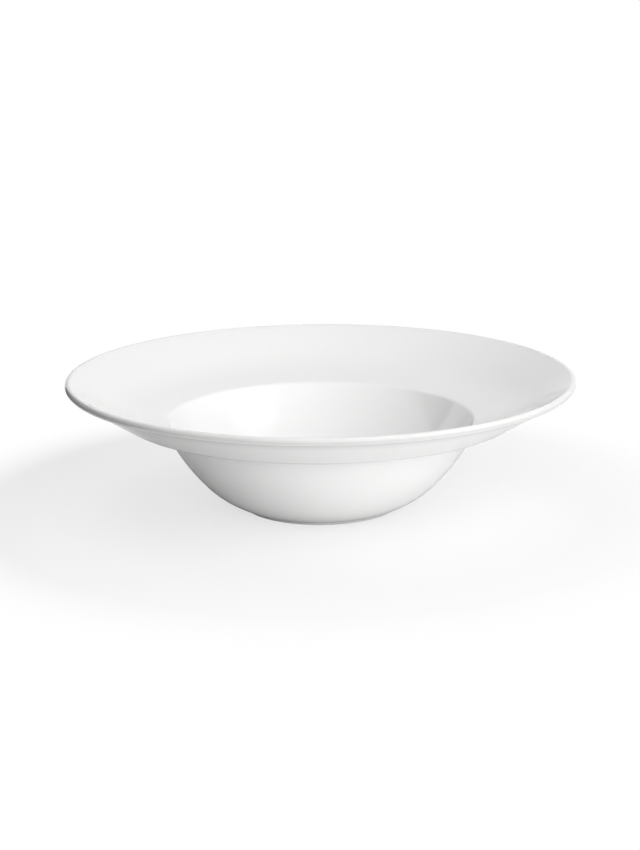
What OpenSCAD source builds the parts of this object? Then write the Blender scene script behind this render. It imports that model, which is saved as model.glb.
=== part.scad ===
// Wide-rimmed pasta bowl in glazed porcelain.
// Z is up, the bowl stands on Z = 0, and its axis is the Z axis.
// Every piece is a profile in [radius, height], turned through a full circle.

/* [Rim] */
// Diameter over the lip
rim_d = 270; // [256:1:284]
// Height of the lip's top above the table
bowl_h = 71; // [68:0.5:76]
// Diameter of the rolled lip
lip_d = 4; // [3.6:0.1:5]
// Radius of the hollow under the lip, where it meets the wall
lip_neck_r = 1; // [0.6:0.1:2]
// Diameter of the knee, where the rim turns up more steeply
knee_d = 210; // [200:1:222]
// Height of the rim's upper face at the knee, if that were a sharp corner
knee_h = 53.75; // [52:0.25:56]
// How much of the slope below the knee is taken up by the knee's soft bend on the upper face
knee_bend_share = 0.45; // [0.1:0.05:0.7]
// Radius of the knee's tighter bend on the underside
knee_under_r = 12; // [8:1:40]

/* [Well] */
// Diameter at which the faces of the rim and of the well would meet in a sharp edge
well_d = 163; // [158:0.5:168]
// Height of that edge
well_edge_h = 47.25; // [45:0.25:49]
// Radius at which that edge is rounded
well_edge_r = 2.5; // [1.5:0.1:5]
// Radius of the hollow below the rim, where it leaves the belly
well_bend_r = 1.5; // [1:0.25:4]
// Height of the well's floor above the table
floor_h = 6; // [5:0.25:8]
// Radius of the bend between the well's side and its floor
floor_bend_r = 44; // [38:1:48]

/* [Belly] */
// Thickness of the wall, glaze included
wall_t = 3.2; // [2.8:0.1:3.7]
// Radius of the belly's side in profile, on the outside
side_r = 110; // [100:1:130]
// Steepness of the belly's side under the rim, in degrees from level
side_steepness = 66; // [64:0.5:68]
// Radius of the belly's lower part in profile, on the outside
base_r = 51; // [47:1:56]

/* [Foot] */
// Diameter of the foot ring
foot_d = 85.5; // [81:0.5:90]
// Height of the foot ring, up to the belly
foot_h = 1.3; // [1.2:0.1:1.8]
// Width of the foot ring
foot_w = 4; // [3:0.25:5]
// Radius of the foot ring's rounded edges
foot_edge_r = 0.7; // [0.4:0.05:0.8]
// Radius of the hollow where the foot ring meets the belly
foot_neck_r = 0.5; // [0.3:0.05:0.6]
// Height of the recess inside the foot ring
recess_h = 1.8; // [1.4:0.1:2.4]

/* [Glaze] */
// Thickness of the glaze
glaze_t = 0.3; // [0.2:0.05:0.4]
// Height above the table at which the glaze ends, so that the foot stands bare
glaze_end_h = 0.6; // [0.5:0.05:0.8]

/* [Hidden] */
$fn = 180;

lip_r = lip_d / 2;
foot_r = foot_d / 2;
foot_in_r = foot_r - foot_w;
side_in_r = side_r - wall_t;
// the bends of the underside, as they would be if they went on up to the upper face
knee_under_top_r = knee_under_r - wall_t;
well_bend_top_r = well_bend_r + wall_t;
// length past every edge of the bowl, for the straight sides of what is cut
reach = rim_d;
// how far a line or an arc runs past the arc that carries it on, so that the two cross
crossing = 0.001;

// The direction at an angle from level
function along(angle) = [cos(angle), sin(angle)];
// The direction square to that one, on its upper side
function above(angle) = [-sin(angle), cos(angle)];
// The angle of a direction from level
function angle_of(direction) = atan2(direction[1], direction[0]);
// Where a line that runs from a point at an angle leaves a circle
function line_leaves(point, angle, centre, radius) =
    let (off = point - centre, back = off * along(angle))
    point + (sqrt(back^2 - off * off + radius^2) - back) * along(angle);
// Where two circles meet, to the left of the way from the first centre to the second
function circles_meet(first, first_r, second, second_r) =
    let (gap = norm(second - first), way = angle_of(second - first))
    let (ahead = (first_r^2 - second_r^2 + gap^2) / (2 * gap))
    first + ahead * along(way) + sqrt(first_r^2 - ahead^2) * above(way);

lip_c = [rim_d / 2 - lip_r, bowl_h - lip_r];
knee = [knee_d / 2, knee_h];
well_edge = [well_d / 2, well_edge_h];

// the rim's two slopes: from the well to the knee, and on from there, level with the top of the lip
low_slope = angle_of(knee - well_edge);
high_slope = angle_of(lip_c - knee) + asin((lip_r - crossing) / norm(lip_c - knee));

// The corner between the two slopes when both faces are moved up by a distance
function knee_at(distance) =
    knee + distance / cos((high_slope - low_slope) / 2) * above((high_slope + low_slope) / 2);

knee_r = knee_bend_share * norm(knee - well_edge) / tan((high_slope - low_slope) / 2);

// the belly's side has one centre for both faces of the wall
side_c = well_edge + side_in_r * above(side_steepness);

// The centre of a bend of a given radius between the rim and the well's side
function well_bend_at(radius) =
    line_leaves(well_edge - radius * above(low_slope), low_slope, side_c, side_in_r + radius);

floor_c = line_leaves([0, floor_h + floor_bend_r], 0, side_c, side_in_r - floor_bend_r);
base_c = circles_meet(side_c, side_r - base_r, [foot_r, foot_h], base_r);
// the hollows where the lip and the foot ring meet the wall
lip_neck_c = line_leaves(lip_c - (wall_t - lip_r + lip_neck_r) * above(high_slope), high_slope + 180,
    lip_c, lip_r + lip_neck_r);
foot_neck_c = line_leaves([foot_r + foot_neck_r, base_c[1]], -90, base_c, base_r + foot_neck_r);

module disc(centre, radius) {
    translate(centre) circle(r = radius);
}

// What is seen from a point between two directions
module sector(apex, from, to) {
    polygon([
        apex,
        apex + reach * along(from),
        apex + reach / cos((to - from) / 2) * along((from + to) / 2),
        apex + reach * along(to)
    ]);
}

// What lies above the rim and inside the well, down to a face at a depth inside the wall.
// The knee's bend and the well's edge are given by their radii on the upper face,
// and the arc at the bottom by its centre and radius.
module above_face(depth, knee_top_r, edge_top_r, bottom_c, bottom_r) {
    knee_c = knee_at(knee_top_r);
    edge_c = well_bend_at(edge_top_r);
    difference() {
        polygon([
            [0, well_edge_h],
            well_edge - depth * above(low_slope) - wall_t * along(low_slope),
            knee_at(-depth),
            knee_at(-depth) + reach * along(high_slope),
            [0, reach]
        ]);
        difference() {
            sector(knee_c, low_slope - 90, high_slope - 90);
            disc(knee_c, knee_top_r + depth + crossing);
        }
    }
    difference() {
        sector(edge_c, low_slope + 90, angle_of(side_c - edge_c));
        disc(edge_c, edge_top_r - depth + crossing);
    }
    intersection() {
        disc(side_c, side_in_r + depth);
        sector(side_c, angle_of(bottom_c - side_c), 0);
    }
    disc(bottom_c, bottom_r + crossing);
}

// The foot ring, with the hollow that eases it into the belly; its glazed faces are set back by skin
module foot_ring(skin) {
    in_r = foot_in_r + skin;
    out_r = foot_r - skin;
    top_h = recess_h + wall_t;
    disc([in_r + foot_edge_r, foot_edge_r], foot_edge_r);
    disc([out_r - foot_edge_r, foot_edge_r], foot_edge_r);
    translate([in_r + foot_edge_r, 0]) square([out_r - in_r - 2 * foot_edge_r, top_h]);
    translate([in_r, foot_edge_r]) square([out_r - in_r, top_h - foot_edge_r]);
    difference() {
        sector(foot_neck_c, angle_of(base_c - foot_neck_c), 180);
        disc(foot_neck_c, foot_neck_r + skin + crossing);
    }
}

// The belly and the underside of the rim, filled, as far as the middle of the lip
module outside(skin) {
    intersection() {
        union() {
            intersection() {
                above_face(wall_t - skin, knee_under_top_r, well_bend_top_r, base_c, base_r - skin);
                translate([0, foot_edge_r]) square(reach);
            }
            foot_ring(skin);
            // the hollow that eases the lip into the wall
            difference() {
                sector(lip_neck_c, angle_of(lip_c - lip_neck_c), high_slope + 90);
                disc(lip_neck_c, lip_neck_r + skin + crossing);
            }
        }
        polygon([
            [0, 0],
            [lip_c[0], 0],
            lip_c - lip_r * above(high_slope),
            lip_c + lip_r * above(high_slope),
            [0, bowl_h]
        ]);
    }
}

// The room in the well and above the rim
module inside(skin) {
    above_face(skin, knee_r, well_edge_r, floor_c, floor_bend_r + skin);
    translate([0, floor_h - skin]) square([floor_c[0], floor_bend_r]);
}

module recess(skin) {
    square([foot_in_r + skin, recess_h + skin]);
}

// The profile of the bowl with all its glazed faces set back by skin
module profile(skin) {
    difference() {
        outside(skin);
        inside(skin);
        recess(skin);
    }
    // the rolled lip
    disc(lip_c, lip_r - skin);
}

// The glaze in profile, down to where it ends on the foot ring
module glaze() {
    difference() {
        profile(0);
        profile(glaze_t);
        square([reach, glaze_end_h]);
    }
}

// Parts the glaze inside the foot ring from the glaze around it
module within_foot_ring() {
    square([foot_r - foot_w / 2, recess_h + glaze_t]);
}

module porcelain_body() {
    color("antiquewhite") rotate_extrude() profile(glaze_t);
}

module bowl_glaze() {
    color("white") rotate_extrude() difference() {
        glaze();
        within_foot_ring();
    }
}

module foot_glaze() {
    color("whitesmoke") rotate_extrude() intersection() {
        glaze();
        within_foot_ring();
    }
}

porcelain_body();
bowl_glaze();
foot_glaze();
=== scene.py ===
# %% [markdown]
# # A wide-rimmed pasta bowl in glazed porcelain
# The bowl is one fired piece of porcelain under a thin coat of clear glass. Nothing on it moves,
# so the whole lesson is about two things: a form that was turned round an axis, and a finish
# that is nearly all reflection. The solids were drawn first, and they are the frame that the
# looks are built around. The first step loads them, in metres, and reads their size.

# %% Load the frame
import math

import bmesh
import bpy
from mathutils import Matrix, Quaternion, Vector, noise


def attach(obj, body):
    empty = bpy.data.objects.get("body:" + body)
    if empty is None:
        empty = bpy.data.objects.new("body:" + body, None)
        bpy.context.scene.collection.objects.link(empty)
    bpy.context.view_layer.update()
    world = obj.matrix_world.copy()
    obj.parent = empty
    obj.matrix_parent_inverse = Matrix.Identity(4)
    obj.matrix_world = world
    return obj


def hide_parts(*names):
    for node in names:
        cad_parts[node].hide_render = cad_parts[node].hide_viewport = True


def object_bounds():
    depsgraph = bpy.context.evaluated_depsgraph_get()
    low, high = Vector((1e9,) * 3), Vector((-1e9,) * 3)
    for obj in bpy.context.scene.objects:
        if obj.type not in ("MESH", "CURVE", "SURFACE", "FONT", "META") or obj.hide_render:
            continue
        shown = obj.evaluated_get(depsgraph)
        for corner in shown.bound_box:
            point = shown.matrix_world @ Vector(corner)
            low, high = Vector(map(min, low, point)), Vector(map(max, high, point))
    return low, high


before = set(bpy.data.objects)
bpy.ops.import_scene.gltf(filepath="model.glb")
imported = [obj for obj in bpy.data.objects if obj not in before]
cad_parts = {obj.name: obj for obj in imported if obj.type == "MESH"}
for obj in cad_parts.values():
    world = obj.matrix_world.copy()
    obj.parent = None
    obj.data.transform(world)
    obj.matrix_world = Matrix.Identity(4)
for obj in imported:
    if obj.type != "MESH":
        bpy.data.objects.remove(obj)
cad_low, cad_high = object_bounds()
print("The bowl in the frame runs from", tuple(cad_low), "to", tuple(cad_high))

# %% [markdown]
# ## The sizes of the profile
# A potter keeps a bowl as a profile: a card cut to the outline, held against the turning clay.
# The overall width and height come from the frame. The other sizes are those of the same card:
# the rolled lip, the knee where the rim turns up more steeply, the edge of the well, the two
# arcs of the belly and the foot ring. Millimetres are easier to read, so one unit turns them
# into Blender's metres.

# %% Sizes of the profile
MM = 0.001
RIM_R = (cad_high.x - cad_low.x) / 2
BOWL_H = cad_high.z

LIP_R = 2.0 * MM
LIP_NECK_R = 1.0 * MM
KNEE = Vector((105.0, 53.75)) * MM
KNEE_BEND_SHARE = 0.45
KNEE_UNDER_R = 12.0 * MM
WELL_EDGE = Vector((81.5, 47.25)) * MM
WELL_EDGE_R = 2.5 * MM
WELL_BEND_R = 1.5 * MM
FLOOR_H = 6.0 * MM
FLOOR_BEND_R = 44.0 * MM

WALL = 3.2 * MM
SIDE_R = 110.0 * MM
SIDE_STEEPNESS = math.radians(66)
BASE_R = 51.0 * MM

FOOT_R = 42.75 * MM
FOOT_H = 1.3 * MM
FOOT_W = 4.0 * MM
FOOT_EDGE_R = 0.7 * MM
FOOT_NECK_R = 0.5 * MM
RECESS_H = 1.8 * MM

GLAZE = 0.3 * MM
GLAZE_END_H = 0.6 * MM
print(f"Rim {2 * RIM_R / MM:.1f} mm across, bowl {BOWL_H / MM:.1f} mm high")

# %% [markdown]
# ## Where the arcs have their centres
# Every round stretch of the profile runs smoothly into its neighbours, so its centre follows
# from them: two touching arcs have their centres in line with the point where they touch.
# The helpers here are the compass and ruler for that, in the plane of radius and height.

# %% Compass and ruler
def along(angle):
    """The direction at an angle from level."""
    return Vector((math.cos(angle), math.sin(angle)))


def above(angle):
    """The direction square to that one, on its upper side."""
    return Vector((-math.sin(angle), math.cos(angle)))


def angle_of(direction):
    return math.atan2(direction.y, direction.x)


def line_leaves(point, angle, centre, radius):
    """Where a line that runs from a point at an angle leaves a circle."""
    off = point - centre
    back = off.dot(along(angle))
    return point + (math.sqrt(back**2 - off.dot(off) + radius**2) - back) * along(angle)


def circles_meet(first, first_r, second, second_r):
    """Where two circles meet, to the left of the way from the first centre to the second."""
    gap = (second - first).length
    way = angle_of(second - first)
    ahead = (first_r**2 - second_r**2 + gap**2) / (2 * gap)
    return first + ahead * along(way) + math.sqrt(first_r**2 - ahead**2) * above(way)


print("Level runs along", tuple(along(0)), "and its upper side is", tuple(above(0)))

# %% [markdown]
# ### The rim
# The rim climbs in two straight slopes from the well to the rolled lip. On the upper face they
# pass into each other in a long soft bend, and on the underside in a tight one, which catches
# the light as a line. The lip is a small circle, and a hollow eases it into the wall below.

# %% Centres of the rim
RIGHT_ANGLE = math.pi / 2
LIP_C = Vector((RIM_R - LIP_R, BOWL_H - LIP_R))
LOW_SLOPE = angle_of(KNEE - WELL_EDGE)
HIGH_SLOPE = angle_of(LIP_C - KNEE) + math.asin(LIP_R / (LIP_C - KNEE).length)
KNEE_R = KNEE_BEND_SHARE * (KNEE - WELL_EDGE).length / math.tan((HIGH_SLOPE - LOW_SLOPE) / 2)


def knee_bend(radius):
    """The centre of a knee of a given radius on the upper face."""
    return KNEE + radius / math.cos((HIGH_SLOPE - LOW_SLOPE) / 2) * above((LOW_SLOPE + HIGH_SLOPE) / 2)


KNEE_C = knee_bend(KNEE_R)
KNEE_UNDER_C = knee_bend(KNEE_UNDER_R - WALL)
LIP_NECK_C = line_leaves(
    LIP_C - (WALL - LIP_R + LIP_NECK_R) * above(HIGH_SLOPE), HIGH_SLOPE + math.pi, LIP_C, LIP_R + LIP_NECK_R
)
print(f"The rim climbs at {math.degrees(LOW_SLOPE):.1f} and then {math.degrees(HIGH_SLOPE):.1f} degrees")
print(f"Its knee is bent to a radius of {KNEE_R / MM:.1f} mm")

# %% [markdown]
# ### The well, the belly and the foot
# The side of the well and the belly's side share one centre, so the wall keeps its thickness.
# A rounder arc carries the belly down to the foot ring, and another leads the side of the well
# into its floor.

# %% Centres of the well, the belly and the foot
SIDE_IN_R = SIDE_R - WALL
SIDE_C = WELL_EDGE + SIDE_IN_R * above(SIDE_STEEPNESS)


def well_bend(radius):
    """The centre of a bend of a given radius, on the upper face, between rim and well."""
    return line_leaves(WELL_EDGE - radius * above(LOW_SLOPE), LOW_SLOPE, SIDE_C, SIDE_IN_R + radius)


WELL_EDGE_C = well_bend(WELL_EDGE_R)
WELL_BEND_C = well_bend(WELL_BEND_R + WALL)
FLOOR_C = line_leaves(Vector((0, FLOOR_H + FLOOR_BEND_R)), 0, SIDE_C, SIDE_IN_R - FLOOR_BEND_R)
BASE_C = circles_meet(SIDE_C, SIDE_R - BASE_R, Vector((FOOT_R, FOOT_H)), BASE_R)
FOOT_NECK_C = line_leaves(
    Vector((FOOT_R + FOOT_NECK_R, BASE_C.y)), -RIGHT_ANGLE, BASE_C, BASE_R + FOOT_NECK_R
)
belly_joint = SIDE_C + SIDE_R * along(angle_of(BASE_C - SIDE_C))
print(f"The belly's two arcs meet {belly_joint.x / MM:.1f} mm from the axis, {belly_joint.y / MM:.1f} mm up")

# %% [markdown]
# ## A pen for profiles
# The outline could be typed as a list of points, but then nobody could read its radii. Here a
# pen draws it: one vertex is pulled along straight lines with an extrude, and swung round the
# centres of the arcs with a spin. A curve object could draw it too, but its points don't lie
# where two arcs touch, and the joints between them are what a clean highlight depends on.

# %% The pen
class Pen:
    """Draws one outline in a mesh, in the plane of radius (x) and height (z).

    The trail is every point drawn, in order. A number on each, for the glaze's depth and painted shade, is
    set later.
    """

    def __init__(self, bm, start, step, turn):
        self.bm, self.step, self.turn = bm, step, turn
        self.depth = bm.verts.layers.float.get("glaze_depth_and_shade") or bm.verts.layers.float.new("glaze_depth_and_shade")
        self.trail = bmesh.ops.create_vert(bm, co=(start.x, 0, start.y))["vert"]

    def at(self):
        return Vector((self.trail[-1].co.x, self.trail[-1].co.z))

    def line(self, end):
        """A straight stretch, in steps."""
        start = self.at()
        count = max(1, math.ceil((end - start).length / self.step))
        for i in range(count):
            point = start.lerp(end, (i + 1) / count)
            self.trail += bmesh.ops.extrude_vert_indiv(self.bm, verts=self.trail[-1:])["verts"]
            self.trail[-1].co = (point.x, 0, point.y)

    def arc(self, centre, end_angle):
        """A round stretch about a centre, from where the pen is to the end angle."""
        arm = self.at() - centre
        swing = end_angle - angle_of(arm)
        count = max(2, math.ceil(abs(swing) / self.turn), math.ceil(abs(swing) * arm.length / self.step))
        drawn = len(self.bm.verts)
        bmesh.ops.spin(
            self.bm, geom=self.trail[-1:], cent=(centre.x, 0, centre.y), axis=(0, -1, 0), dvec=(0, 0, 0),
            angle=swing, steps=count, use_merge=False, use_duplicate=False,
        )
        self.bm.verts.ensure_lookup_table()
        self.trail += self.bm.verts[drawn:]


print("The pen is ready: line and arc")

# %% [markdown]
# ## Where the glaze runs and pools, and where shade is painted
# Molten glass pulls away from the lip's tight outer edge and gathers in hollows. Thin glaze shows
# the greyer body, and pooled glaze looks a shade deeper. So each point of an outline gets a
# number for how the glaze lies there, which the material turns into a tone. The same number also
# paints shade: the pooled tone darkens the underside below the lip, the crease above the foot ring
# and the corner inside it, and the thin tone darkens the lip's front. It could be painted by height,
# but the well and the belly share their heights. So it fades out by the way along the face, as the
# real edge of a pool does, and where two places meet the stronger one wins.

# %% Depth of the glaze, with painted shade
EVEN, THIN_AND_SHADED, POOLED_AND_SHADED = 0.5, 0.0, 1.0
# The pooled and thin places also paint shade: below the lip, above the foot ring and on the lip's front.
OUTSIDE_GLAZE_AND_SHADE = [
    (Vector((FOOT_R, FOOT_H)), 4.0 * MM, POOLED_AND_SHADED),
    (LIP_NECK_C + LIP_NECK_R * above(HIGH_SLOPE + RIGHT_ANGLE / 2), 12.0 * MM, POOLED_AND_SHADED),
    (LIP_C + LIP_R * along(0), 6.0 * MM, THIN_AND_SHADED),
]
# The pooled corner inside the foot ring also paints shade there.
RECESS_GLAZE_AND_SHADE = [(Vector((FOOT_R - FOOT_W, RECESS_H)), 5.0 * MM, POOLED_AND_SHADED)]


def lay_glaze_and_shade(pen, places):
    """Notes on every point of the pen's trail how thick the glaze lies there, and how much shade is painted
    there.
    """
    walked = [0.0]
    for here, there in zip(pen.trail, pen.trail[1:]):
        walked.append(walked[-1] + (there.co - here.co).length)
    for v in pen.trail:
        v[pen.depth] = EVEN
    for place, reach, target in places:
        spot = Vector((place.x, 0, place.y))
        near = min(range(len(walked)), key=lambda i: (pen.trail[i].co - spot).length)
        for v, length in zip(pen.trail, walked):
            fade = 1 - min(1, abs(length - walked[near]) / reach)
            change = (target - EVEN) * fade**2
            if abs(change) > abs(v[pen.depth] - EVEN):
                v[pen.depth] = EVEN + change


# At these places the glaze is thin or pooled, and its tone also paints shade.
print(len(OUTSIDE_GLAZE_AND_SHADE) + len(RECESS_GLAZE_AND_SHADE), "places where the glaze is thin or pooled")

# %% [markdown]
# ## The glazed face
# One walk of the pen goes over the whole glazed outside: up from the foot ring, along the belly,
# out under the rim, round the lip, back over the rim and down the well to its middle. The same
# walk, set back by the thickness of the glaze, is the face of the porcelain under it, so the two
# follow each other all the way.

# %% The walk over the glazed outside
def walk_outside(bm, skin, step, turn):
    """From the foot ring's outer edge to the middle of the well; gives back the first point."""
    edge_c = Vector((FOOT_R - skin - FOOT_EDGE_R, FOOT_EDGE_R))
    end_angle = math.asin((GLAZE_END_H - FOOT_EDGE_R) / FOOT_EDGE_R)
    pen = Pen(bm, edge_c + FOOT_EDGE_R * along(end_angle), step, turn)
    pen.arc(edge_c, 0)
    pen.line(Vector((FOOT_R - skin, FOOT_NECK_C.y)))
    pen.arc(FOOT_NECK_C, angle_of(BASE_C - FOOT_NECK_C))
    pen.arc(BASE_C, angle_of(BASE_C - SIDE_C))
    pen.arc(SIDE_C, angle_of(WELL_BEND_C - SIDE_C))
    pen.arc(WELL_BEND_C, LOW_SLOPE + RIGHT_ANGLE)
    pen.line(KNEE_UNDER_C + (KNEE_UNDER_R - skin) * along(LOW_SLOPE - RIGHT_ANGLE))
    pen.arc(KNEE_UNDER_C, HIGH_SLOPE - RIGHT_ANGLE)
    pen.line(LIP_NECK_C + (LIP_NECK_R + skin) * above(HIGH_SLOPE))
    pen.arc(LIP_NECK_C, angle_of(LIP_C - LIP_NECK_C))
    pen.arc(LIP_C, HIGH_SLOPE + RIGHT_ANGLE)
    pen.line(KNEE_C + (KNEE_R + skin) * along(HIGH_SLOPE - RIGHT_ANGLE))
    pen.arc(KNEE_C, LOW_SLOPE - RIGHT_ANGLE)
    pen.line(WELL_EDGE_C + (WELL_EDGE_R - skin) * above(LOW_SLOPE))
    pen.arc(WELL_EDGE_C, angle_of(SIDE_C - WELL_EDGE_C))
    pen.arc(SIDE_C, angle_of(FLOOR_C - SIDE_C))
    pen.arc(FLOOR_C, -RIGHT_ANGLE)
    pen.line(Vector((0, FLOOR_H - skin)))
    lay_glaze_and_shade(pen, OUTSIDE_GLAZE_AND_SHADE)
    return pen.trail[0]


print(f"The glaze outside ends {GLAZE_END_H / MM:.1f} mm above the table")

# %% [markdown]
# The patch of glaze inside the foot ring is a separate island: the ring between the two is wiped
# bare before firing, or the bowl would stick to the kiln shelf.

# %% The walk inside the foot ring
def walk_recess(bm, skin, step, turn):
    """From the foot ring's inner edge to the middle of the recess; gives back the first point."""
    in_r = FOOT_R - FOOT_W + skin
    edge_c = Vector((in_r + FOOT_EDGE_R, FOOT_EDGE_R))
    end_angle = math.pi - math.asin((GLAZE_END_H - FOOT_EDGE_R) / FOOT_EDGE_R)
    pen = Pen(bm, edge_c + FOOT_EDGE_R * along(end_angle), step, turn)
    pen.line(Vector((in_r, FOOT_EDGE_R)))
    pen.line(Vector((in_r, RECESS_H + skin)))
    pen.line(Vector((0, RECESS_H + skin)))
    lay_glaze_and_shade(pen, RECESS_GLAZE_AND_SHADE)
    return pen.trail[0]


print(f"The recess inside the foot ring is {RECESS_H / MM:.1f} mm high")

# %% [markdown]
# ## Turning the profile
# A full spin about the upright axis is what the potter's wheel does. The first and last copy of
# the outline are merged, and so is the ring of points that the spin leaves on the axis, so the
# surface closes at its pole. Only then are the normals worked out, because a spin can leave a
# shape inside out.

# %% The wheel
TURN_STEPS = 256
FINE_STEP, COARSE_STEP = 1.8 * MM, 6.0 * MM
FINE_TURN, COARSE_TURN = math.radians(9), math.radians(20)
MERGE_GAP = 0.001 * MM


def turn_on_wheel(bm):
    """Spins the outline in bm through a full circle into a closed, outward-facing surface."""
    bmesh.ops.spin(
        bm, geom=bm.verts[:] + bm.edges[:], cent=(0, 0, 0), axis=(0, 0, 1), dvec=(0, 0, 0),
        angle=2 * math.pi, steps=TURN_STEPS, use_merge=True, use_duplicate=False,
    )
    bmesh.ops.remove_doubles(bm, verts=bm.verts, dist=MERGE_GAP)
    bmesh.ops.recalc_face_normals(bm, faces=bm.faces)


def make_piece(name, bm, material, node):
    """Makes the mesh an object, smooth shaded, that stands for a node of the frame."""
    mesh = bpy.data.meshes.new(name)
    bm.to_mesh(mesh)
    open_edges = sum(1 for e in bm.edges if len(e.link_faces) != 2)
    bm.free()
    mesh.polygons.foreach_set("use_smooth", [True] * len(mesh.polygons))
    piece = bpy.data.objects.new(name, mesh)
    bpy.context.collection.objects.link(piece)
    mesh.materials.append(material)
    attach(piece, "root")
    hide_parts(node)
    triangles = sum(len(face.vertices) - 2 for face in mesh.polygons)
    print(f"{name}: {len(mesh.vertices)} points, {triangles} triangles, {open_edges} open edges")


print("Every full circle has", TURN_STEPS, "steps")

# %% [markdown]
# ## The hand in the glaze
# A mould gives a true circle, but glazing and firing don't: the glass lies a few hundredths of a
# millimetre thicker here and thinner there, and that is why a highlight on porcelain wanders a
# little instead of running ruler-straight. A bump map could fake it, but a long soft wave shows
# in the reflections best when the surface itself moves. Every point moves into the glass and none
# out of it, so the bowl keeps its size and the coat never cuts into the porcelain.

# %% Waves in the glaze
WAVE = 0.045 * MM
WAVE_LENGTH = 38 * MM
RIPPLE_SHARE = 0.3
RIPPLES_PER_WAVE = 2.3


def settle_glaze(bm):
    """Moves every point into the glass by a smooth wave of a few hundredths of a millimetre."""
    bm.normal_update()
    moves = []
    for v in bm.verts:
        place = v.co / WAVE_LENGTH
        ripple = noise.noise(place * RIPPLES_PER_WAVE)
        wave = noise.noise(place) * (1 - RIPPLE_SHARE) + ripple * RIPPLE_SHARE
        moves.append((v, v.normal * WAVE * (wave - 1) / 2))
    for v, move in moves:
        v.co += move


print(f"The waves are up to {WAVE / MM:.3f} mm deep")

# %% [markdown]
# ## Materials
# A material in Blender is a small net of nodes. Three helpers keep the nets below readable: one
# starts a material, one adds a node with its numbers, and one does sums on what nodes give.

# %% Helpers for materials
def new_material(name):
    """A material, its net of nodes and the shader that it starts with."""
    material = bpy.data.materials.new(name)
    material.use_nodes = True
    return material, material.node_tree, material.node_tree.nodes["Principled BSDF"]


def add(tree, kind, **settings):
    """Adds a node and fills in its sockets by name."""
    node = tree.nodes.new(kind)
    for key, value in settings.items():
        node.inputs[key.replace("_", " ")].default_value = value
    return node


def combine(tree, operation, first, second):
    """The sum, product or larger of two values, from 0 to 1; each is an output or a number."""
    node = tree.nodes.new("ShaderNodeMath")
    node.operation = operation
    node.use_clamp = True
    for socket, value in zip(node.inputs, (first, second)):
        if isinstance(value, float):
            socket.default_value = value
        else:
            tree.links.new(value, socket)
    return node.outputs["Value"]


print("Helpers for materials are ready")

# %% [markdown]
# ### The glaze
# Glaze is clear glass over a white body, so its material is a white base under a sharp
# reflection with the index of refraction of glass. Real clear glass over white would look the
# same and render far more slowly. What keeps it from looking like plastic is small: a cooler,
# deeper tone where the glass has pooled, a warmer, greyer one where it ran thin over the lip, a
# roughness that is not quite even, and a faint orange peel. The pooled and thin tones are also
# painted shade: they darken the hollow below the lip, the foot ring's creases and the lip's front.

# %% Glaze material
GLASS_IOR = 1.52
GLAZE_WHITE = (0.87, 0.87, 0.867, 1)
# The pooled and thin tones are partly painted shade, darker than the glass alone makes them.
GLAZE_POOLED_AND_SHADED = (0.65, 0.66, 0.66, 1)
GLAZE_THIN_AND_SHADED = (0.56, 0.558, 0.552, 1)


def make_glaze(name, peel):
    """The glaze; peel says how strongly its face is pitted like an orange's."""
    material, tree, shader = new_material(name)
    shader.inputs["IOR"].default_value = GLASS_IOR
    where = tree.nodes.new("ShaderNodeTexCoord")

    # The tone from the glaze's depth number also paints shade in the hollows and on the lip.
    depth = tree.nodes.new("ShaderNodeAttribute")
    depth.attribute_name = "glaze_depth_and_shade"
    tone = tree.nodes.new("ShaderNodeValToRGB")
    tone.color_ramp.elements[0].color = GLAZE_THIN_AND_SHADED
    tone.color_ramp.elements[1].color = GLAZE_POOLED_AND_SHADED
    tone.color_ramp.elements.new(EVEN).color = GLAZE_WHITE
    tree.links.new(depth.outputs["Fac"], tone.inputs["Fac"])
    tree.links.new(tone.outputs["Color"], shader.inputs["Base Color"])

    clouds = add(tree, "ShaderNodeTexNoise", Scale=45.0, Detail=3.0, Roughness=0.5)
    tree.links.new(where.outputs["Object"], clouds.inputs["Vector"])
    polish = add(tree, "ShaderNodeMapRange", From_Min=0.3, From_Max=0.7, To_Min=0.05, To_Max=0.09)
    tree.links.new(clouds.outputs["Fac"], polish.inputs["Value"])
    tree.links.new(polish.outputs["Result"], shader.inputs["Roughness"])

    skin = add(tree, "ShaderNodeTexNoise", Scale=420.0, Detail=2.0, Roughness=0.4)
    tree.links.new(where.outputs["Object"], skin.inputs["Vector"])
    bump = add(tree, "ShaderNodeBump", Strength=peel, Distance=0.01 * MM)
    tree.links.new(skin.outputs["Fac"], bump.inputs["Height"])
    tree.links.new(bump.outputs["Normal"], shader.inputs["Normal"])
    return material


glaze_material = make_glaze("clear_glaze", peel=0.3)
foot_glaze_material = make_glaze("clear_glaze_in_foot", peel=0.6)
print("Glaze materials made")

# %% [markdown]
# ### The bare porcelain
# The standing ring is bare porcelain. It is ground flat after firing, so it is matt and slightly
# warm, with a fine grain and faint lines that run round it. Both are far too fine to model, so a
# bump stands for them.

# %% Bare porcelain
BARE_DARK = (0.66, 0.63, 0.58, 1)
BARE_LIGHT = (0.78, 0.76, 0.71, 1)


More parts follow.
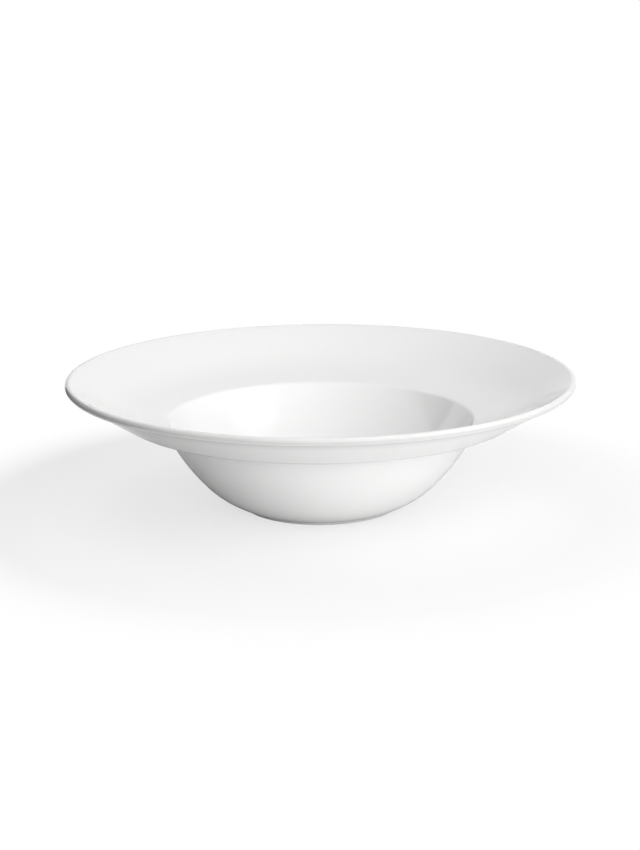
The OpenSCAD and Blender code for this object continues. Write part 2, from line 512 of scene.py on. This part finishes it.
def make_bare_porcelain():
    material, tree, shader = new_material("bare_porcelain")
    shader.inputs["Specular IOR Level"].default_value = 0.3
    where = tree.nodes.new("ShaderNodeTexCoord")

    blotches = add(tree, "ShaderNodeTexNoise", Scale=160.0, Detail=5.0, Roughness=0.6)
    tree.links.new(where.outputs["Object"], blotches.inputs["Vector"])
    tone = tree.nodes.new("ShaderNodeValToRGB")
    tone.color_ramp.elements[0].position = 0.35
    tone.color_ramp.elements[0].color = BARE_DARK
    tone.color_ramp.elements[1].position = 0.65
    tone.color_ramp.elements[1].color = BARE_LIGHT
    tree.links.new(blotches.outputs["Fac"], tone.inputs["Fac"])
    tree.links.new(tone.outputs["Color"], shader.inputs["Base Color"])

    wear = add(tree, "ShaderNodeMapRange", From_Min=0.3, From_Max=0.7, To_Min=0.62, To_Max=0.85)
    tree.links.new(blotches.outputs["Fac"], wear.inputs["Value"])
    tree.links.new(wear.outputs["Result"], shader.inputs["Roughness"])

    grinding = add(tree, "ShaderNodeTexWave", Scale=900.0, Distortion=2.0, Detail=2.0)
    grinding.wave_type = "RINGS"
    grinding.rings_direction = "Z"
    tree.links.new(where.outputs["Object"], grinding.inputs["Vector"])
    grain = add(tree, "ShaderNodeTexNoise", Scale=2500.0, Detail=3.0)
    tree.links.new(where.outputs["Object"], grain.inputs["Vector"])
    both = tree.nodes.new("ShaderNodeMath")
    both.operation = "ADD"
    tree.links.new(grinding.outputs["Fac"], both.inputs[0])
    tree.links.new(grain.outputs["Fac"], both.inputs[1])
    bump = add(tree, "ShaderNodeBump", Strength=0.5, Distance=0.03 * MM)
    tree.links.new(both.outputs["Value"], bump.inputs["Height"])
    tree.links.new(bump.outputs["Normal"], shader.inputs["Normal"])
    return material


bare_material = make_bare_porcelain()
print("Bare porcelain made")

# %% [markdown]
# ## The glaze outside the foot ring
# The coat is a closed skin: its outer face and the face against the porcelain are two walks of
# the pen, joined where the glaze ends on the foot ring by a small round bead. The wheel turns
# both at once.

# %% Glaze outside
BEAD_STEPS = 4


def join_ends(bm, first, second):
    """Joins the starts of two walks with a bead that swells outwards by half the gap."""
    middle = (first.co + second.co) / 2
    way = first.co - second.co
    down = Vector((way.z, 0, -way.x)) / 2
    down = down if down.z < 0 else -down
    tip = first
    for i in range(1, BEAD_STEPS):
        swing = math.pi * i / BEAD_STEPS
        tip = bmesh.ops.extrude_vert_indiv(bm, verts=[tip])["verts"][0]
        tip.co = middle + math.cos(swing) * way / 2 + math.sin(swing) * down
    bmesh.ops.contextual_create(bm, geom=[tip, second])


bm = bmesh.new()
outer_end = walk_outside(bm, 0, FINE_STEP, FINE_TURN)
inner_end = walk_outside(bm, GLAZE, COARSE_STEP, COARSE_TURN)
join_ends(bm, outer_end, inner_end)
turn_on_wheel(bm)
settle_glaze(bm)
make_piece("glaze_coat", bm, glaze_material, "bowl_glaze")

# %% [markdown]
# ## The glaze inside the foot ring
# It is made in the same way, from the shorter walk. Its face lies flat under the bowl, where no
# long highlight runs over it, so it needs no waves.

# %% Glaze inside the foot ring
bm = bmesh.new()
outer_end = walk_recess(bm, 0, FINE_STEP, FINE_TURN)
inner_end = walk_recess(bm, GLAZE, COARSE_STEP, COARSE_TURN)
join_ends(bm, outer_end, inner_end)
turn_on_wheel(bm)
make_piece("glaze_in_foot", bm, foot_glaze_material, "foot_glaze")

# %% [markdown]
# ## The porcelain body
# Its face is the walk set back by the thickness of the glaze, inside and outside the foot ring,
# and between the two it comes down onto the bare standing ring with its rounded edges.

# %% Porcelain body
def walk_standing_ring(bm, outer_end, inner_end, turn):
    """From the outer end of the glaze round the bare ring to its inner end."""
    out_c = Vector((FOOT_R - GLAZE - FOOT_EDGE_R, FOOT_EDGE_R))
    in_c = Vector((FOOT_R - FOOT_W + GLAZE + FOOT_EDGE_R, FOOT_EDGE_R))
    pen = Pen(bm, Vector((outer_end.co.x, outer_end.co.z)), FINE_STEP, turn)
    pen.arc(out_c, -RIGHT_ANGLE)
    pen.line(Vector((in_c.x, 0)))
    pen.arc(in_c, angle_of(Vector((inner_end.co.x, inner_end.co.z)) - in_c) - 2 * math.pi)


bm = bmesh.new()
outer_end = walk_outside(bm, GLAZE, COARSE_STEP, COARSE_TURN)
inner_end = walk_recess(bm, GLAZE, COARSE_STEP, COARSE_TURN)
walk_standing_ring(bm, outer_end, inner_end, FINE_TURN)
bmesh.ops.remove_doubles(bm, verts=bm.verts, dist=MERGE_GAP)
turn_on_wheel(bm)
make_piece("porcelain", bm, bare_material, "porcelain_body")

# %% [markdown]
# ## The table
# A plain pale floor catches the bowl's shadow and throws light back under its rim. A big white
# sheet would need so much light to look white that the bowl would burn out. So the floor turns
# into an even white away from the bowl, for the camera and for what the glaze mirrors, and near
# the bowl it is part white for the camera alone. The lamps see a plain matt floor.

# %% Floor material
FLOOR_GREY = (0.85, 0.85, 0.85, 1)
PURE_WHITE = (1, 1, 1, 1)
SHADOW_NEAR, SHADOW_FAR = 0.09, 0.23
WHITE_NEAR = 0.7


def seen_or_mirrored(tree):
    """The output that is 1 where the camera sees a surface, also in a mirror or through glass."""
    ray = tree.nodes.new("ShaderNodeLightPath").outputs
    seen = combine(tree, "ADD", ray["Is Camera Ray"], ray["Is Glossy Ray"])
    return combine(tree, "ADD", seen, ray["Is Transmission Ray"])


def make_floor_material():
    """Matt under the lamps; for the camera part white near the bowl and all white away from it."""
    material, tree, shader = new_material("pale_floor")
    shader.inputs["Base Color"].default_value = FLOOR_GREY
    shader.inputs["Roughness"].default_value = 0.9
    shader.inputs["Specular IOR Level"].default_value = 0.0
    glow = add(tree, "ShaderNodeEmission", Color=PURE_WHITE, Strength=1.0)
    where = tree.nodes.new("ShaderNodeTexCoord")
    away = tree.nodes.new("ShaderNodeVectorMath")
    away.operation = "LENGTH"
    tree.links.new(where.outputs["Object"], away.inputs[0])
    fade = add(tree, "ShaderNodeMapRange", From_Min=SHADOW_NEAR, From_Max=SHADOW_FAR, To_Min=0.0, To_Max=1.0)
    fade.interpolation_type = "SMOOTHSTEP"
    tree.links.new(away.outputs["Value"], fade.inputs["Value"])
    far = combine(tree, "MULTIPLY", fade.outputs["Result"], seen_or_mirrored(tree))
    ray = tree.nodes.new("ShaderNodeLightPath").outputs
    near = combine(tree, "MULTIPLY", ray["Is Camera Ray"], WHITE_NEAR)
    mix = tree.nodes.new("ShaderNodeMixShader")
    tree.links.new(combine(tree, "MAXIMUM", far, near), mix.inputs["Fac"])
    tree.links.new(shader.outputs["BSDF"], mix.inputs[1])
    tree.links.new(glow.outputs["Emission"], mix.inputs[2])
    tree.links.new(mix.outputs["Shader"], tree.nodes["Material Output"].inputs["Surface"])
    return material


floor_material = make_floor_material()
print("Floor material made")

# %% [markdown]
# The floor itself is one flat face, far wider than the picture. What stands round the bowl and
# isn't part of it is made by one helper and isn't attached to the bowl.

# %% Floor
FLOOR_HALF = 6.0


def put_on_stage(name, bm, material):
    """Makes the mesh a thing of the studio."""
    mesh = bpy.data.meshes.new(name)
    bm.to_mesh(mesh)
    bm.free()
    mesh.materials.append(material)
    thing = bpy.data.objects.new(name, mesh)
    bpy.context.collection.objects.link(thing)
    return thing


bm = bmesh.new()
bmesh.ops.create_grid(bm, x_segments=1, y_segments=1, size=FLOOR_HALF)
put_on_stage("floor", bm, floor_material)
print("Floor", 2 * FLOOR_HALF, "m wide")

# %% [markdown]
# ## The studio
# White on white is drawn by shading and reflections alone, so the room matters as much as the
# bowl. The camera and the glaze see white all around. The light that falls on the bowl is another
# matter: a white room that lit it too would wash out every shade, so for that the room gives
# only a faint glow, and the lamps do the rest.

# %% White room
ROOM_FILL = 0.02


def light_room():
    world = bpy.data.worlds.new("studio")
    bpy.context.scene.world = world
    world.use_nodes = True
    tree = world.node_tree
    fill = tree.nodes["Background"]
    fill.inputs["Color"].default_value = PURE_WHITE
    fill.inputs["Strength"].default_value = ROOM_FILL
    backdrop = add(tree, "ShaderNodeBackground", Color=PURE_WHITE, Strength=1.0)
    mix = tree.nodes.new("ShaderNodeMixShader")
    tree.links.new(seen_or_mirrored(tree), mix.inputs["Fac"])
    tree.links.new(fill.outputs["Background"], mix.inputs[1])
    tree.links.new(backdrop.outputs["Background"], mix.inputs[2])
    tree.links.new(mix.outputs["Shader"], tree.nodes["World Output"].inputs["Surface"])


light_room()
print("White room, fill", ROOM_FILL)

# %% [markdown]
# The lamps are soft boxes, most of the light from the front right and from above at the back. The
# well mirrors one of them, a little brighter than the white room. The others light the bowl but
# aren't mirrored, as if each stood behind the white of the room, so the lip doesn't fill with
# lamps.

# %% Soft boxes
def soft_box(name, azimuth, elevation, distance, width, height, power, mirrored=False):
    """A lamp that faces the bowl; azimuth 0 is in front of it and 90 on its right."""
    lamp = bpy.data.lights.new(name, "AREA")
    lamp.shape = "RECTANGLE"
    lamp.size = width
    lamp.size_y = height
    lamp.energy = power
    box = bpy.data.objects.new(name, lamp)
    a, e = math.radians(azimuth), math.radians(elevation)
    way = Vector((math.sin(a) * math.cos(e), -math.cos(a) * math.cos(e), math.sin(e)))
    box.location = Vector((0, 0, BOWL_H / 2)) + way * distance
    box.rotation_mode = "QUATERNION"
    box.rotation_quaternion = way.to_track_quat("Z", "Y")
    box.visible_camera = False
    box.visible_glossy = mirrored
    bpy.context.collection.objects.link(box)
    print(f"{name}: {power} W")


soft_box(
    "key_right", azimuth=72, elevation=38, distance=0.9, width=0.6, height=0.6, power=1.15, mirrored=True
)
soft_box("side_right", azimuth=95, elevation=30, distance=0.9, width=0.8, height=0.8, power=2.6)
soft_box("front_right", azimuth=25, elevation=30, distance=1.0, width=0.8, height=0.8, power=6.7)
soft_box("front_low", azimuth=15, elevation=10, distance=0.9, width=0.8, height=0.4, power=2.2)
soft_box("left_top", azimuth=285, elevation=60, distance=1.3, width=1.0, height=1.0, power=1.7)
soft_box("back_left", azimuth=225, elevation=60, distance=1.3, width=1.0, height=1.0, power=5.1)
soft_box("back_low", azimuth=180, elevation=12, distance=0.9, width=0.8, height=0.4, power=1.5)

# %% [markdown]
# A white bowl loses its edge against a white background. Photographers stand a dark card just
# outside the picture, and the glaze mirrors it as a grey edge. Here it stands on the left.

# %% Dark card
CARD_X = -0.265
CARD_FRONT_Y, CARD_BACK_Y = -0.55, 0.28
CARD_LENGTH, CARD_H = CARD_BACK_Y - CARD_FRONT_Y, 0.21
CARD_GREY = (0.03, 0.03, 0.03, 1)

card_material, _, card_shader = new_material("dark_card")
card_shader.inputs["Base Color"].default_value = CARD_GREY
card_shader.inputs["Specular IOR Level"].default_value = 0.0

bm = bmesh.new()
bmesh.ops.create_grid(bm, x_segments=1, y_segments=1, size=0.5)
bmesh.ops.scale(bm, verts=bm.verts, vec=(CARD_H, CARD_LENGTH, 1))
bmesh.ops.rotate(bm, verts=bm.verts, cent=(0, 0, 0), matrix=Matrix.Rotation(RIGHT_ANGLE, 3, "Y"))
bmesh.ops.translate(bm, verts=bm.verts, vec=(CARD_X, (CARD_FRONT_Y + CARD_BACK_Y) / 2, CARD_H / 2))
card = put_on_stage("dark_card", bm, card_material)
card.visible_camera = False
print(f"Dark card {CARD_LENGTH:.2f} by {CARD_H:.2f} m")

# %% [markdown]
# ## The camera
# The photograph looks down on the bowl by 14.5 degrees, from about a metre away with a long lens.
# The lens is worked out from the focal length in pixels of a picture 850 pixels high, and the
# frame tilts by a fraction of a degree. A quaternion holds the camera's turn as one rotation, so
# no order of angles has to be kept in mind.

# %% Camera
PICTURE_W, PICTURE_H = 640, 850
FOCAL_PX = 1867.0
AXIS_X_PX = 320.6
SENSOR_MM = 36.0
DISTANCE = 1.0
PITCH = math.radians(14.49)
AIM_H = 42.85 * MM
TILT = math.radians(0.4)

lens = bpy.data.cameras.new("camera")
lens.sensor_fit = "AUTO"
lens.sensor_width = SENSOR_MM
lens.lens = FOCAL_PX / PICTURE_H * SENSOR_MM
lens.shift_x = (PICTURE_W / 2 - AXIS_X_PX) / PICTURE_H
camera = bpy.data.objects.new("camera", lens)
camera.location = (0, -DISTANCE * math.cos(PITCH), AIM_H + DISTANCE * math.sin(PITCH))
camera.rotation_mode = "QUATERNION"
camera.rotation_quaternion = Quaternion((1, 0, 0), RIGHT_ANGLE - PITCH) @ Quaternion((0, 0, 1), -TILT)
bpy.context.collection.objects.link(camera)
bpy.context.scene.camera = camera
bpy.context.scene.view_settings.view_transform = "Standard"
print(f"Lens {lens.lens:.1f} mm, {math.degrees(PITCH):.1f} degrees down")
